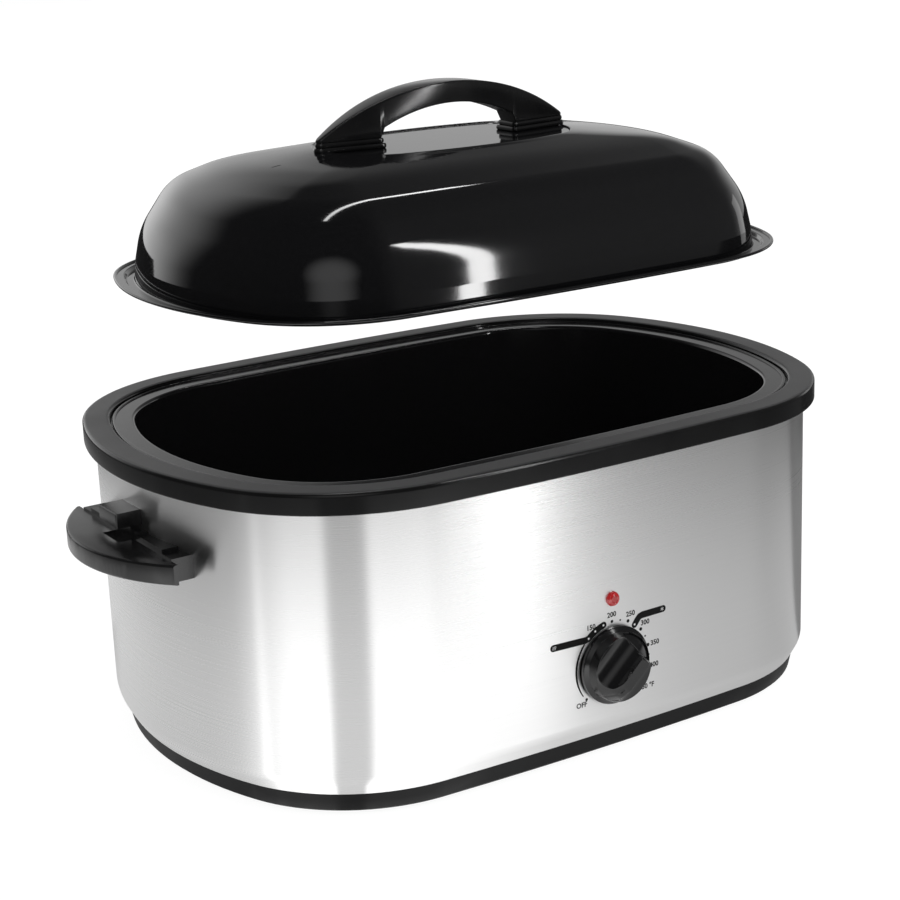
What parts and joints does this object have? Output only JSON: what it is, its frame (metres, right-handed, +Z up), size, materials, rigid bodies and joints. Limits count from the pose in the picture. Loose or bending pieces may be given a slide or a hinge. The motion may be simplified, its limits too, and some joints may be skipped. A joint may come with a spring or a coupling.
{
  "type": "electric roaster oven",
  "caption": "Countertop roaster oven: oval steel body with lift-out enamelled pan and wire rack, thermostat knob, side handles and a lift-off domed lid",
  "frame": {"origin": "on the floor, in the middle of the whole object's box, knob and side handles counted in", "axes": "+X to the right of someone who faces the knob, +Y to the back, +Z up"},
  "size_m": [0.624, 0.4199, 0.4715],
  "materials": {
    "black_plastic": "moulded heat-proof plastic, satin",
    "gloss_black_plastic": "polished moulding",
    "black_enamel": "porcelain enamel on steel, glossy",
    "dark_enamel": "baked enamel on steel, satin",
    "brushed_steel": "brushed stainless, grain along the wrap",
    "plated_steel": "zinc plated",
    "chromed_wire": "bright chrome plating",
    "aluminised_steel": "aluminised sheet",
    "black_rubber": "moulded rubber",
    "red_lens": "clear red, glossy",
    "lamp_glass": "clear bulb",
    "glass_fibre": "glass-fibre felt",
    "mica": "mica and resistance wire sleeve",
    "brass": "turned brass",
    "lead_sleeve": "silicone sleeve over glass braid",
    "white_ceramic": "steatite"
  },
  "bodies": {
    "base": {"rim_collar": "black_plastic", "outer_shell": "brushed_steel", "seam_rivets": "plated_steel", "base_tray": "dark_enamel", "rubber_feet": "black_rubber", "foot_screws": "plated_steel", "well_liner": "aluminised_steel", "heating_band": "mica", "band_straps": "plated_steel", "heater_terminals": "white_ceramic", "insulation_blanket": "glass_fibre", "thermostat_body": "white_ceramic", "thermostat_nut": "brass", "sensor_plate": "brass", "indicator_lens": "red_lens", "indicator_lamp": "lamp_glass", "lens_clip": "plated_steel", "cord_gland": "black_plastic", "terminal_block": "white_ceramic", "internal_leads": "lead_sleeve", "thermal_fuse": "plated_steel", "tie_strap": "plated_steel", "tie_bolt": "plated_steel", "handle_left": "black_plastic", "handle_right": "black_plastic", "handle_plate_left": "plated_steel", "handle_plate_right": "plated_steel", "handle_screws": "plated_steel"},
    "knob": {"temperature_knob": "gloss_black_plastic", "thermostat_shaft": "brass", "knob_clip": "plated_steel"},
    "pan": {"cooking_pan": "black_enamel"},
    "rack": {"roasting_rack": "chromed_wire", "rack_legs": "chromed_wire", "rack_loops": "chromed_wire"},
    "lid": {"lid_shell": "black_enamel", "lid_handle_pads": "black_plastic", "lid_handle": "black_plastic", "lid_handle_screws": "plated_steel", "lid_washers": "plated_steel"}
  },
  "joints": [
    {"name": "knob_turn", "type": "hinge", "parent": "base", "child": "knob", "pos_m": [0.0044, -0.183, 0.0713], "axis": [0, 1, 0], "range_deg": [0, 263]},
    {"name": "pan_lift", "type": "slide", "parent": "base", "child": "pan", "axis": [0, 0, 1], "range_m": [0, 0.18]},
    {"name": "rack_lift", "type": "slide", "parent": "pan", "child": "rack", "axis": [0, 0, 1], "range_m": [0, 0.17]},
    {"name": "lid_lift", "type": "slide", "parent": "rack", "child": "lid", "axis": [0, 0, 1], "range_m": [-0.1075, 0]}
  ]
}
